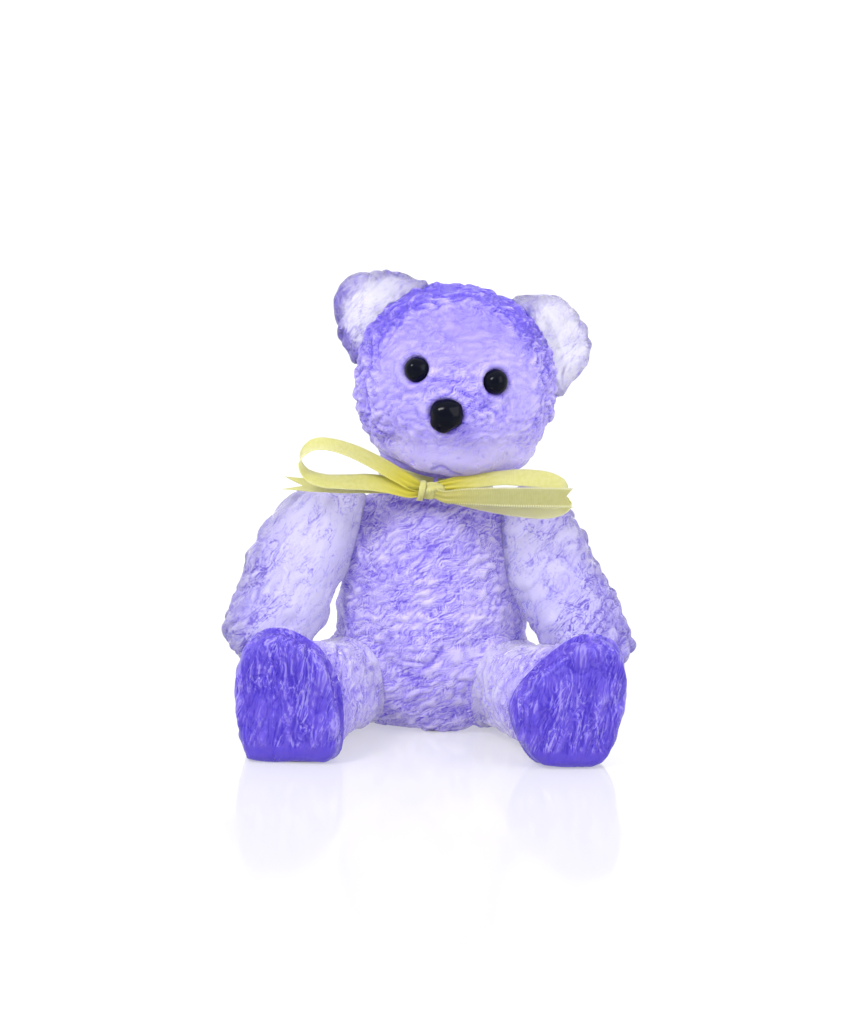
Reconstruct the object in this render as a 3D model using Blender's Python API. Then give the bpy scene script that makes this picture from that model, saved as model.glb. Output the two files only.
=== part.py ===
"""Seated bear figurine of cast crystal glass, with bead eyes and nose and a tied satin ribbon.

Lengths in the tables below are millimetres. The bear faces -Y, +X is the viewer's right, +Z is up.
The tables are written about the torso; SHIFT moves the whole to the middle of its bounding box.
"""

import math

import bmesh
import bpy
from mathutils import Euler, Vector

MM = 0.001
GAP = 0.3
SHIFT = (-0.284, 11.607, 0.0)

# Torso: height, centre x, centre y, half width, half depth. It ends in the neck plug.
TORSO_RINGS = (
    (0.0, 1.6, 2.4, 14.0, 13.2),
    (0.9, 1.6, 2.4, 16.4, 15.6),
    (4.0, 1.5, 2.3, 19.2, 18.6),
    (10.0, 1.2, 2.2, 22.2, 21.2),
    (18.0, 0.9, 2.1, 24.2, 22.8),
    (27.0, 0.6, 2.0, 24.7, 23.0),
    (36.0, 0.3, 1.6, 23.3, 21.8),
    (46.0, 0.4, 1.0, 20.6, 19.4),
    (54.0, 0.8, 0.2, 18.6, 17.4),
    (59.0, 1.1, -0.5, 17.4, 16.2),
    (61.2, 1.2, -0.9, 15.2, 14.8),
    (62.2, 1.2, -1.0, 14.0, 13.9),
    (65.0, 1.2, -1.0, 13.4, 13.4),
    (69.0, 1.4, -1.0, 13.5, 13.5),
    (74.0, 2.2, -1.0, 15.6, 15.2),
)

HEAD_CENTRE = (5.7, -2.0, 90.4)
HEAD_RADII = (25.8, 23.8, 24.4)
HEAD_POWER = 2.2
HEAD_TILT = math.radians(7.6)
HEAD_TURN = math.radians(-2.5)
MUZZLE_RISE = 2.4
MUZZLE_SPREAD = 0.36
MUZZLE_AIM = (0.0, -1.0, -0.27)

# Features in the head's own frame.
EYE_RADIUS = 3.35
EYE_MIDDLE = 0.35
EYE_SIDE = 9.95
EYE_HEIGHT = 4.2
EYE_SINK = 0.6
NOSE_SIDE = -0.5
NOSE_HEIGHT = -5.6
NOSE_HALF_WIDTH = 4.5
NOSE_HALF_HEIGHT = 4.75
NOSE_HALF_DEPTH = 3.8
NOSE_SINK = 0.4

# Each ear: distance to the side, height, half width, half height.
EAR_LEFT = (19.8, 12.5, 14.2, 13.3)
EAR_RIGHT = (20.1, 11.9, 12.9, 13.6)
EAR_HALF_THICKNESS = 6.4
EAR_DISH = 2.4
EAR_BACK = 3.0
EAR_TURN = math.radians(10)

# Arms from the shoulder down: centre x, y, z, half width, half depth, and the two end points.
ARM_LEFT = (
    (-25.6, -0.2, 62.2, 4.4, 4.4),
    (-26.2, -0.4, 60.9, 8.0, 7.4),
    (-27.6, -0.9, 58.2, 10.4, 9.6),
    (-30.4, -2.0, 53.2, 12.3, 11.2),
    (-33.2, -3.6, 47.0, 13.2, 12.0),
    (-35.4, -6.0, 40.0, 13.4, 12.2),
    (-37.8, -9.2, 33.5, 13.5, 12.2),
    (-39.6, -12.4, 28.0, 12.4, 11.4),
    (-41.2, -15.2, 23.5, 10.0, 9.8),
    (-42.0, -17.2, 20.0, 6.4, 6.8),
)
ARM_LEFT_ENDS = ((-25.4, -0.1, 62.8), (-42.3, -18.2, 18.2))
ARM_RIGHT = (
    (25.4, -0.2, 62.0, 4.2, 4.2),
    (25.8, -0.4, 60.6, 7.6, 7.2),
    (26.6, -0.9, 57.8, 9.6, 9.4),
    (28.2, -2.0, 52.6, 11.0, 10.8),
    (30.5, -3.6, 46.6, 12.0, 11.6),
    (33.3, -6.2, 40.0, 12.8, 12.1),
    (36.8, -9.4, 33.6, 13.5, 12.2),
    (39.4, -12.8, 28.2, 12.8, 11.6),
    (41.6, -15.8, 23.6, 10.8, 10.0),
    (43.0, -17.8, 20.0, 7.0, 6.9),
)
ARM_RIGHT_ENDS = ((25.3, -0.1, 62.6), (43.4, -18.8, 18.0))

# Foot outlines seen from the front: distance outward from the foot's middle, height.
FOOT_LEFT = (
    (-9.4, 0.0),
    (-11.8, 1.4),
    (-12.7, 4.6),
    (-12.7, 12.0),
    (-11.8, 18.2),
    (-9.4, 23.6),
    (-5.8, 28.0),
    (-0.8, 31.0),
    (4.2, 31.9),
    (8.4, 30.4),
    (11.4, 26.4),
    (12.8, 20.0),
    (12.9, 13.0),
    (11.6, 5.4),
    (10.2, 1.2),
    (8.4, 0.0),
)
FOOT_RIGHT = (
    (-5.6, 0.0),
    (-8.2, 1.4),
    (-10.8, 5.0),
    (-13.0, 10.0),
    (-13.6, 14.8),
    (-11.4, 19.4),
    (-7.6, 23.6),
    (-3.0, 27.8),
    (1.8, 31.0),
    (6.6, 32.0),
    (11.0, 30.2),
    (13.6, 25.0),
    (13.9, 18.0),
    (12.8, 9.0),
    (10.4, 2.6),
    (6.2, 0.0),
)
FOOT_LEFT_MIDDLE = 33.9
FOOT_RIGHT_MIDDLE = 34.7
FOOT_BACK = -39.6
FOOT_THICKNESS = 8.4
FOOT_LEAN = 0.06
FOOT_TURN = math.radians(4)
FOOT_CORE = 15.0

# Leg: hip ring centre out, y, z, half width, half height; then share of the way to the foot, fullness.
HIP_RING = (20.4, -3.0, 11.4, 11.8, 11.2)
LEG_STEPS = (
    (-0.3, 0.34),
    (-0.26, 0.6),
    (-0.17, 0.84),
    (-0.07, 0.96),
    (0.06, 1.0),
    (0.25, 1.0),
    (0.42, 1.0),
    (0.58, 1.0),
    (0.74, 1.0),
    (0.88, 1.0),
    (1.0, 1.0),
)
LEG_POWER = 2.7
LEG_END_SCALE = 0.965

RIBBON_WIDTH = 6.0
RIBBON_THICKNESS = 0.35
BAND_CENTRE = (1.2, -1.0, 66.0)
BAND_HEIGHT = 4.6
BAND_TILT = math.radians(6)
BAND_INNER_RADIUS = 14.5
BAND_OVERLAP = 0.5
KNOT_CENTRE = (-0.8, -19.0, 64.8)
KNOT_HALF_SIZE = (2.9, 2.2, 2.1)

# Ribbon strips: centre x, y, z, then how far the ribbon's width leans from +Y (0) up to +Z (90).
LOOP_LEFT = (
    (-4.4, -19.4, 66.0, 62, 3.6),
    (-8.4, -19.2, 68.2, 48, 4.8),
    (-14.0, -18.6, 71.2, 36, 5.6),
    (-20.0, -18.2, 73.9, 28, 6.0),
    (-25.5, -18.2, 75.5, 24, 6.0),
    (-29.8, -18.4, 75.4, 22, 6.0),
    (-32.4, -18.6, 73.4, 20, 6.0),
    (-33.0, -18.8, 70.8, 20, 6.0),
    (-31.2, -19.0, 68.0, 22, 6.0),
    (-27.4, -19.2, 66.6, 26, 6.0),
    (-22.0, -19.4, 66.4, 30, 6.0),
    (-16.0, -19.8, 66.5, 40, 5.6),
    (-10.4, -20.2, 65.8, 52, 4.8),
    (-5.2, -20.4, 64.2, 64, 3.0),
)
LOOP_RIGHT = (
    (2.9, -19.6, 66.2, 70, 3.0),
    (6.6, -19.9, 66.8, 62, 4.2),
    (11.6, -20.2, 67.2, 55, 5.2),
    (17.6, -20.4, 67.6, 48, 6.0),
    (23.6, -20.6, 67.9, 44, 6.0),
    (29.2, -20.8, 67.3, 42, 6.0),
    (32.6, -21.0, 65.7, 42, 6.0),
    (33.6, -21.2, 63.8, 42, 6.0),
    (32.2, -21.4, 62.0, 42, 6.0),
    (28.6, -21.4, 61.1, 44, 6.0),
    (22.8, -21.2, 61.4, 48, 6.0),
    (16.4, -20.8, 62.0, 55, 5.4),
    (10.0, -20.4, 62.6, 64, 4.4),
    (3.4, -19.8, 63.2, 76, 2.8),
)
TAIL_LEFT = (
    (-4.2, -17.0, 64.4, 40, 3.0),
    (-10.0, -16.9, 64.5, 32, 4.4),
    (-16.0, -16.7, 64.6, 25, 5.6),
    (-23.0, -16.4, 64.4, 22, 6.0),
    (-30.0, -16.0, 64.6, 22, 6.0),
    (-37.4, -15.8, 65.0, 24, 6.0),
)
TAIL_RIGHT = (
    (3.0, -23.7, 63.8, 84, 3.0),
    (6.6, -24.5, 64.0, 76, 3.8),
    (11.0, -25.0, 64.2, 66, 4.6),
    (17.0, -25.3, 64.3, 54, 5.4),
    (24.0, -25.6, 64.4, 48, 6.0),
    (30.0, -25.8, 64.5, 47, 6.0),
    (35.6, -26.0, 64.6, 47, 6.0),
)
TAIL_NOTCH = 2.6

# Turns and steps.
TORSO_SIDES = 36
HEAD_SIDES = 40
HEAD_ROWS = 22
ARM_SIDES = 22
BEAD_SIDES = 20
BEAD_ROWS = 12
STRIP_STEPS = 3

VIOLET = (0.46, 0.40, 0.93, 1.0)
PALE_VIOLET = (0.74, 0.70, 0.97, 1.0)
CLEAR_VIOLET = (0.86, 0.84, 0.98, 1.0)
DEEP_VIOLET = (0.20, 0.13, 0.70, 1.0)
BLACK = (0.01, 0.01, 0.014, 1.0)
RIBBON_YELLOW = (0.78, 0.76, 0.28, 1.0)


def clearScene():
    for obj in list(bpy.data.objects):
        bpy.data.objects.remove(obj, do_unlink=True)


def addObject(name, points, faces, colour, helper=False):
    mesh = bpy.data.meshes.new(name)
    mesh.from_pydata([(Vector(p) + Vector(SHIFT)) * MM for p in points], [], faces)
    shape = bmesh.new()
    shape.from_mesh(mesh)
    bmesh.ops.recalc_face_normals(shape, faces=shape.faces)
    if shape.calc_volume(signed=True) < 0:
        bmesh.ops.reverse_faces(shape, faces=shape.faces)
    shape.to_mesh(mesh)
    shape.free()
    obj = bpy.data.objects.new(name, mesh)
    bpy.context.scene.collection.objects.link(obj)
    if helper:
        obj.hide_render = True
        obj.display_type = "WIRE"
    else:
        material = bpy.data.materials.new(name)
        material.use_nodes = True
        material.node_tree.nodes["Principled BSDF"].inputs["Base Color"].default_value = colour
        mesh.materials.append(material)
    return obj


def cut(obj, cutter):
    modifier = obj.modifiers.new("cut_" + cutter.name, "BOOLEAN")
    modifier.operation = "DIFFERENCE"
    modifier.solver = "EXACT"
    modifier.object = cutter


def skin(rings, start=None, end=None):
    """Joins rings of equal length into a closed surface; each end is a pole point or a flat face."""
    count = len(rings[0])
    points = [p for ring in rings for p in ring]
    faces = []
    for row in range(len(rings) - 1):
        for i in range(count):
            j = (i + 1) % count
            faces.append((row * count + i, row * count + j, (row + 1) * count + j, (row + 1) * count + i))
    last = (len(rings) - 1) * count
    for pole, first in ((start, 0), (end, last)):
        ring = [first + i for i in range(count)]
        if pole is None:
            faces.append(tuple(ring))
            continue
        points.append(pole)
        for i in range(count):
            faces.append((ring[i], ring[(i + 1) % count], len(points) - 1))
    return points, faces


def smoothRow(rows, steps):
    """Catmull-Rom points through rows of numbers, with the given steps in each span."""
    out = []
    for i in range(len(rows) - 1):
        before = rows[max(i - 1, 0)]
        after = rows[min(i + 2, len(rows) - 1)]
        for step in range(steps):
            t = step / steps
            row = []
            for a, b, c, d in zip(before, rows[i], rows[i + 1], after):
                cubic = 2 * b + (c - a) * t + (2 * a - 5 * b + 4 * c - d) * t * t
                row.append(0.5 * (cubic + (3 * b - a - 3 * c + d) * t * t * t))
            out.append(tuple(row))
    out.append(tuple(rows[-1]))
    return out


def torsoShape(grow=0.0):
    rings = []
    for z, x, y, across, deep in smoothRow(TORSO_RINGS, 2):
        ring = []
        for i in range(TORSO_SIDES):
            turn = 2 * math.pi * i / TORSO_SIDES
            ring.append((x + (across + grow) * math.cos(turn), y + (deep + grow) * math.sin(turn), z))
        rings.append(ring)
    if grow:
        rings[-1] = [(p[0], p[1], p[2] + grow) for p in rings[-1]]
    return skin(rings)


def headTurn():
    return Euler((0, HEAD_TILT, HEAD_TURN), "XYZ").to_matrix()


def toBear(local):
    return Vector(HEAD_CENTRE) + headTurn() @ Vector(local)


def headRadius(aim):
    """Distance from the head's centre to its surface along a unit vector, in the head's own frame."""
    across, deep, high = HEAD_RADII
    power = HEAD_POWER
    total = abs(aim.x / across) ** power + abs(aim.y / deep) ** power + abs(aim.z / high) ** power
    plain = total ** (-1 / power)
    off = aim.angle(Vector(MUZZLE_AIM)) / MUZZLE_SPREAD
    return plain + MUZZLE_RISE * math.exp(-0.5 * off * off)


def headShape(grow=0.0):
    rings = []
    for row in range(1, HEAD_ROWS):
        fall = math.pi * row / HEAD_ROWS
        ring = []
        for i in range(HEAD_SIDES):
            turn = 2 * math.pi * i / HEAD_SIDES
            aim = Vector((math.sin(fall) * math.cos(turn), math.sin(fall) * math.sin(turn), math.cos(fall)))
            ring.append(toBear(aim * (headRadius(aim) + grow)))
        rings.append(ring)
    high = HEAD_RADII[2] + grow
    return skin(rings, toBear((0, 0, high)), toBear((0, 0, -high)))


def onHead(side, height, sink):
    """The point of the face at this side and height, moved in by sink."""
    low, high = 0.0, 40.0
    for _ in range(40):
        deep = 0.5 * (low + high)
        spot = Vector((side, -deep, height))
        if spot.length < headRadius(spot.normalized()):
            low = deep
        else:
            high = deep
    return Vector((side, -low + sink, height))


def beadShape(centre, radii, point=0.0, grow=0.0):
    """An egg in the head's own frame; point draws its lower half in towards the tip."""
    across, deep, high = (r + grow for r in radii)
    rings = []
    for row in range(1, BEAD_ROWS):
        fall = math.pi * row / BEAD_ROWS
        ring = []
        for i in range(BEAD_SIDES):
            turn = 2 * math.pi * i / BEAD_SIDES
            drop = max(0.0, -math.cos(fall))
            width = across * (1 - point * drop)
            x = width * math.sin(fall) * math.cos(turn)
            y = deep * math.sin(fall) * math.sin(turn)
            z = high * math.cos(fall) * (1 - 0.14 * point * (1 + math.cos(fall)))
            ring.append(toBear(centre + Vector((x, y, z))))
        rings.append(ring)
    top = high * (1 - 0.28 * point)
    return skin(rings, toBear(centre + Vector((0, 0, top))), toBear(centre + Vector((0, 0, -high))))


def earShape(side, size):
    """A thick disc with rounded rim and a dished front, turned about its own axis on the given side."""
    out, height, wide, high = size
    centre = Vector((side * out, EAR_BACK, height))
    swing = Euler((0, 0, side * EAR_TURN), "XYZ").to_matrix()
    rings = []
    for step in range(1, 14):
        t = math.pi * step / 14
        reach = math.sin(t) ** 0.7
        front = math.cos(t)
        y = -EAR_HALF_THICKNESS * math.copysign(abs(front) ** 0.9, front)
        if front > 0:
            y += EAR_DISH * (1 - reach) ** 1.2
        ring = []
        for i in range(28):
            turn = 2 * math.pi * i / 28
            uneven = 1 + 0.022 * math.cos(5 * turn + side) + 0.016 * math.cos(3 * turn + 1.3 * side)
            x = wide * reach * uneven * math.cos(turn)
            z = high * reach * uneven * math.sin(turn)
            ring.append(toBear(centre + swing @ Vector((x, y, z))))
        rings.append(ring)
    front = toBear(centre + swing @ Vector((0, -EAR_HALF_THICKNESS + EAR_DISH, 0)))
    back = toBear(centre + swing @ Vector((0, EAR_HALF_THICKNESS, 0)))
    return skin(rings, front, back)


def armShape(stations, ends):
    rings = []
    for x, y, z, across, deep in smoothRow(stations, 2):
        ring = []
        for i in range(ARM_SIDES):
            turn = 2 * math.pi * i / ARM_SIDES
            ring.append((x + across * math.cos(turn), y + deep * math.sin(turn), z))
        rings.append(ring)
    return skin(rings, *ends)


def footPoint(side, middle, out, deep, height):
    """Turns the foot out about its own middle and leans its face back with height."""
    back = deep + FOOT_LEAN * height
    x = out * math.cos(FOOT_TURN) - back * math.sin(FOOT_TURN)
    y = back * math.cos(FOOT_TURN) + out * math.sin(FOOT_TURN)
    return (side * (middle + x), FOOT_BACK + y, height)


def outlineRing(side, foot, deep, scale):
    outline, middle = foot
    ring = []
    for out, height in smoothRow(outline + outline[:1], 2)[:-1]:
        high = FOOT_CORE + (max(height, 0.0) - FOOT_CORE) * scale
        ring.append(footPoint(side, middle, out * scale, deep, high))
    return ring


def soleShape(side, foot):
    front = -FOOT_THICKNESS
    steps = (
        (-GAP, LEG_END_SCALE),
        (-GAP - 1.2, 1.0),
        (front + 3.0, 1.0),
        (front + 1.3, 0.965),
        (front + 0.4, 0.9),
        (front, 0.78),
        (front - 0.2, 0.4),
    )
    rings = [outlineRing(side, foot, deep, scale) for deep, scale in steps]
    return skin(rings, end=footPoint(side, foot[1], 0, front - 0.3, FOOT_CORE))


def legShape(side, foot, grow=0.0):
    x, y, z, wide, high = HIP_RING
    end = outlineRing(side, foot, 0.0, LEG_END_SCALE)
    middle = Vector(footPoint(side, foot[1], 0, 0, FOOT_CORE))
    hip = Vector((side * x, y, z))
    square = 2 / LEG_POWER
    rings = []
    for share, full in LEG_STEPS:
        forward = max(share, 0.0)
        centre = hip + (middle - hip) * share
        centre.x = hip.x + (middle.x - hip.x) * forward ** 1.5
        ring = []
        for point in end:
            off = Vector(point) - middle
            turn = math.atan2(off.z, side * off.x)
            over = math.copysign(abs(math.cos(turn)) ** square, math.cos(turn))
            up = math.copysign(abs(math.sin(turn)) ** square, math.sin(turn))
            plain = Vector((side * wide * over, 0, high * up)) * full
            spot = plain.lerp(off, forward ** 3)
            ring.append(centre + spot + spot.normalized() * grow)
        rings.append(ring)
    return skin(rings)


def stripShape(stations, notch=0.0):
    rows = smoothRow(stations, STRIP_STEPS)
    rings = []
    for i, row in enumerate(rows):
        here = Vector(row[:3])
        ahead = Vector(rows[min(i + 1, len(rows) - 1)][:3]) - Vector(rows[max(i - 1, 0)][:3])
        along = ahead.normalized()
        lean = math.radians(row[3])
        wide = Vector((0, math.cos(lean), math.sin(lean)))
        wide = (wide - along * wide.dot(along)).normalized() * row[4] / 2
        thick = along.cross(wide).normalized() * RIBBON_THICKNESS / 2
        last = notch and i == len(rows) - 1
        ring = []
        for a, b in ((-1, -1), (0, -1), (1, -1), (1, 1), (0, 1), (-1, 1)):
            pull = -along * notch if last and a == 0 else Vector((0, 0, 0))
            ring.append(here + wide * a + thick * b + pull)
        rings.append(ring)
    points, faces = skin(rings)
    if not notch:
        return points, faces
    # A notched end folds its flat cap in two.
    end = faces.pop()
    faces.append((end[0], end[1], end[4], end[5]))
    faces.append((end[1], end[2], end[3], end[4]))
    return points, faces


def bandShape():
    """The flat ribbon round the neck, open at the front where the knot closes it."""
    x, y, z = BAND_CENTRE
    start = math.asin(BAND_OVERLAP / BAND_INNER_RADIUS) + math.radians(-90)
    rings = []
    for i in range(49):
        turn = start + (2 * math.pi - 2 * math.asin(BAND_OVERLAP / BAND_INNER_RADIUS)) * i / 48
        ring = []
        for out, up in ((0, -1), (1, -1), (1, 1), (0, 1)):
            radius = BAND_INNER_RADIUS + out * RIBBON_THICKNESS
            side = radius * math.cos(turn)
            height = z + up * BAND_HEIGHT / 2 - side * math.tan(BAND_TILT)
            ring.append((x + side, y + radius * math.sin(turn), height))
        rings.append(ring)
    return skin(rings)


def knotShape():
    wide, deep, high = KNOT_HALF_SIZE
    rings = []
    for row in range(1, 10):
        t = math.pi * row / 10
        reach = math.sin(t) ** 0.6
        ring = []
        for i in range(20):
            turn = 2 * math.pi * i / 20
            pleat = 1 + 0.05 * math.cos(4 * turn)
            y = deep * reach * pleat * math.cos(turn)
            z = high * reach * pleat * math.sin(turn)
            ring.append((KNOT_CENTRE[0] - wide * math.cos(t), KNOT_CENTRE[1] + y, KNOT_CENTRE[2] + z))
        rings.append(ring)
    ends = [(KNOT_CENTRE[0] + s * wide, KNOT_CENTRE[1], KNOT_CENTRE[2]) for s in (-1, 1)]
    return skin(rings, *ends)


clearScene()

torso = addObject("torso", *torsoShape(), VIOLET)
head = addObject("head", *headShape(), VIOLET)
torsoCutter = addObject("torso_cutter", *torsoShape(GAP), VIOLET, helper=True)
headCutter = addObject("head_cutter", *headShape(GAP), VIOLET, helper=True)
cut(head, torsoCutter)

eyeRadii = (EYE_RADIUS, EYE_RADIUS, EYE_RADIUS)
noseRadii = (NOSE_HALF_WIDTH, NOSE_HALF_DEPTH, NOSE_HALF_HEIGHT)
beads = (
    ("eye_left", onHead(EYE_MIDDLE - EYE_SIDE, EYE_HEIGHT, EYE_SINK), eyeRadii, 0.0),
    ("eye_right", onHead(EYE_MIDDLE + EYE_SIDE, EYE_HEIGHT, EYE_SINK), eyeRadii, 0.0),
    ("nose", onHead(NOSE_SIDE, NOSE_HEIGHT, NOSE_SINK), noseRadii, 0.34),
)
for name, centre, radii, point in beads:
    addObject(name, *beadShape(centre, radii, point), BLACK)
    socket = addObject(name + "_socket", *beadShape(centre, radii, point, GAP), BLACK, helper=True)
    cut(head, socket)

sides = (
    ("left", -1, EAR_LEFT, (FOOT_LEFT, FOOT_LEFT_MIDDLE), (ARM_LEFT, ARM_LEFT_ENDS)),
    ("right", 1, EAR_RIGHT, (FOOT_RIGHT, FOOT_RIGHT_MIDDLE), (ARM_RIGHT, ARM_RIGHT_ENDS)),
)
for label, side, earSize, foot, armRows in sides:
    ear = addObject("ear_" + label, *earShape(side, earSize), CLEAR_VIOLET)
    cut(ear, headCutter)
    leg = addObject("leg_" + label, *legShape(side, foot), PALE_VIOLET)
    cut(leg, torsoCutter)
    legCutter = addObject("leg_cutter_" + label, *legShape(side, foot, GAP), PALE_VIOLET, helper=True)
    addObject("foot_sole_" + label, *soleShape(side, foot), DEEP_VIOLET)
    arm = addObject("arm_" + label, *armShape(*armRows), PALE_VIOLET)
    cut(arm, torsoCutter)
    cut(arm, legCutter)

addObject("ribbon_neck_band", *bandShape(), RIBBON_YELLOW)
addObject("ribbon_knot", *knotShape(), RIBBON_YELLOW)
addObject("ribbon_loop_left", *stripShape(LOOP_LEFT), RIBBON_YELLOW)
addObject("ribbon_loop_right", *stripShape(LOOP_RIGHT), RIBBON_YELLOW)
addObject("ribbon_tail_left", *stripShape(TAIL_LEFT, TAIL_NOTCH), RIBBON_YELLOW)
addObject("ribbon_tail_right", *stripShape(TAIL_RIGHT, TAIL_NOTCH), RIBBON_YELLOW)
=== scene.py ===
import math

import bpy
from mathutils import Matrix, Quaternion, Vector, noise
from mathutils.bvhtree import BVHTree


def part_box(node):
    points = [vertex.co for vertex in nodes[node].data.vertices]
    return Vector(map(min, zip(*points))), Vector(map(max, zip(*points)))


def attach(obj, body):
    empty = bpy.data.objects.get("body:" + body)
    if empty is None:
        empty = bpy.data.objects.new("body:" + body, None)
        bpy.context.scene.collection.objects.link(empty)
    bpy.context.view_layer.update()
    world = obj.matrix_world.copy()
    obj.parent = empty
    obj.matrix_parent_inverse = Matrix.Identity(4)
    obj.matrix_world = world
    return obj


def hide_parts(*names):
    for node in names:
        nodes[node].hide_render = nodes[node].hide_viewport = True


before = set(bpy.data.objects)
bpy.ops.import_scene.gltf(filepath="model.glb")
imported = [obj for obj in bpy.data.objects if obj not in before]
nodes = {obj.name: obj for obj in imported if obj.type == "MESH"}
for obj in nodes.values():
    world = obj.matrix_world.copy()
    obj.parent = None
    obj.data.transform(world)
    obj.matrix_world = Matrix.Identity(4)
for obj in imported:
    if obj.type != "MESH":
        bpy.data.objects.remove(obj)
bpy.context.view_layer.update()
print("frame loaded:", len(nodes), "nodes")

mm = 0.001
noise.seed_set(5)  # the same folds on every run
rawShift = Vector((-0.284, 11.607, 0.0))  # the bow's routes are written about the torso's own middle


# camera: a long lens, a little above the figure and slightly rolled

cameraSetup = {
    "aim": (-0.0013, 0.0116, 0.0556), "distance": 0.74, "elevation": 10.0, "roll": 1.2,
    "lens": 100.06, "sensor": 36.0,
}
rise = math.radians(cameraSetup["elevation"])
back = Vector((0, -math.cos(rise), math.sin(rise)))
camera = bpy.data.objects.new("camera", bpy.data.cameras.new("camera"))
bpy.context.scene.collection.objects.link(camera)
camera.data.lens = cameraSetup["lens"]
camera.data.sensor_width = cameraSetup["sensor"]
camera.data.clip_start = 0.01
camera.location = Vector(cameraSetup["aim"]) + back * cameraSetup["distance"]
camera.rotation_mode = "QUATERNION"
level = (-back).to_track_quat("-Z", "Y")
camera.rotation_quaternion = level @ Quaternion((0, 0, 1), math.radians(cameraSetup["roll"]))
bpy.context.scene.camera = camera
bpy.context.scene.view_settings.view_transform = "Standard"


# small helpers

def pickOnly(piece):
    bpy.ops.object.select_all(action="DESELECT")
    piece.select_set(True)
    bpy.context.view_layer.objects.active = piece


def applyAll(piece):
    pickOnly(piece)
    for modifier in list(piece.modifiers):
        bpy.ops.object.modifier_apply(modifier=modifier.name)


def copyNode(node, name):
    piece = bpy.data.objects.new(name, nodes[node].data.copy())
    bpy.context.scene.collection.objects.link(piece)
    piece.data.materials.clear()
    pickOnly(piece)
    bpy.ops.object.mode_set(mode="EDIT")
    bpy.ops.mesh.select_all(action="SELECT")
    bpy.ops.mesh.remove_doubles(threshold=0.005 * mm)
    bpy.ops.object.mode_set(mode="OBJECT")
    return piece


def settle(piece, node, material):
    for face in piece.data.polygons:
        face.use_smooth = True
    piece.data.materials.clear()
    piece.data.materials.append(material)
    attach(piece, "root")
    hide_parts(node)


def treeOf(node):
    mesh = nodes[node].data
    return BVHTree.FromPolygons([v.co for v in mesh.vertices], [p.vertices for p in mesh.polygons])


def ease(value, low, high):
    t = max(0.0, min(1.0, (value - low) / (high - low)))
    return t * t * (3 - 2 * t)


def middle(node):
    low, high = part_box(node)
    return (low + high) / 2 / mm


def addNode(tree, kind, place, **values):
    made = tree.nodes.new(kind)
    made.location = place
    for key, value in values.items():
        setattr(made, key, value)
    return made


def feed(tree, socket, value):
    if isinstance(value, (int, float, tuple)):
        socket.default_value = value
    else:
        tree.links.new(value, socket)


def mathNode(tree, place, operation, first, second=0.0, clamp=False):
    made = addNode(tree, "ShaderNodeMath", place, operation=operation, use_clamp=clamp)
    feed(tree, made.inputs[0], first)
    feed(tree, made.inputs[1], second)
    return made.outputs[0]


def mixColour(tree, place, factor, first, second):
    made = addNode(tree, "ShaderNodeMix", place, data_type="RGBA")
    for socket, value in zip((made.inputs[0], made.inputs[6], made.inputs[7]), (factor, first, second)):
        feed(tree, socket, value)
    return made.outputs[2]


def spread(tree, place, value, low, high, toLow=0.0, toHigh=1.0):
    made = addNode(tree, "ShaderNodeMapRange", place)
    for name, number in (("From Min", low), ("From Max", high), ("To Min", toLow), ("To Max", toHigh)):
        made.inputs[name].default_value = number
    tree.links.new(value, made.inputs["Value"])
    return made.outputs[0]


# the cast glass surface: broad lumps, and leaf-shaped folds with sharp creases between them

casting = {
    "voxel": 0.45, "quickVoxel": 0.9, "foot": 0.04,  # mm between points, and from the glass to the floor
    "reach": 5.0, "touching": 0.8, "apart": 2.4, "loose": 2.6,  # gaps to the next casting, in mm
    "groove": 0.35, "broad": 0.09,
}


def lineGap(spot, line):
    # distance in the XZ plane from a point to a line of points
    best = 1e9
    for (ax, az), (bx, bz) in zip(line, line[1:]):
        dx, dz = bx - ax, bz - az
        t = max(0.0, min(1.0, ((spot[0] - ax) * dx + (spot[1] - az) * dz) / (dx * dx + dz * dz)))
        best = min(best, math.hypot(spot[0] - ax - t * dx, spot[1] - az - t * dz))
    return best


def foldsAt(spot, look):
    # how high the folds stand here, and a mark for painted shade in the creases between them and painted
    # light on their ridges
    lean = math.radians(look["lean"])
    cosLean, sinLean = math.cos(lean), math.sin(lean)
    long, deep = look["stretch"]
    warp = noise.noise_vector(spot * 0.1) * 3.0 + noise.noise_vector(spot * 0.33) * 0.9
    bent = spot + warp
    along = (bent.x * cosLean + bent.z * sinLean) * long
    flow = Vector((along, bent.y * deep, bent.z * cosLean - bent.x * sinLean))
    wide = noise.noise(flow * look["fold"])
    narrow = noise.noise(flow * look["fold"] * 1.7 + Vector((5, 9, 2)))
    patch = ease(noise.noise(spot * 0.16 + Vector((3, 1, 4))), -0.25, 0.3)
    line = math.exp(-((wide / look["thin"]) ** 2)) * (0.35 + 0.65 * patch)
    fine = math.exp(-((narrow / (look["thin"] * 1.6)) ** 2)) * 0.6 * patch
    ridge = abs(wide) * 2.2 - 0.45
    ridgeLight = max(0.0, ridge) + 0.5 * max(0.0, abs(narrow) * 2.2 - 0.5)
    return ridge, max(line, fine) - 0.7 * ridgeLight


def trimFoot(piece):
    pickOnly(piece)
    bpy.ops.object.mode_set(mode="EDIT")
    bpy.ops.mesh.select_all(action="SELECT")
    low = (0, 0, casting["foot"] * mm)
    bpy.ops.mesh.bisect(plane_co=low, plane_no=(0, 0, 1), use_fill=True, clear_inner=True)
    bpy.ops.object.mode_set(mode="OBJECT")


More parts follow.
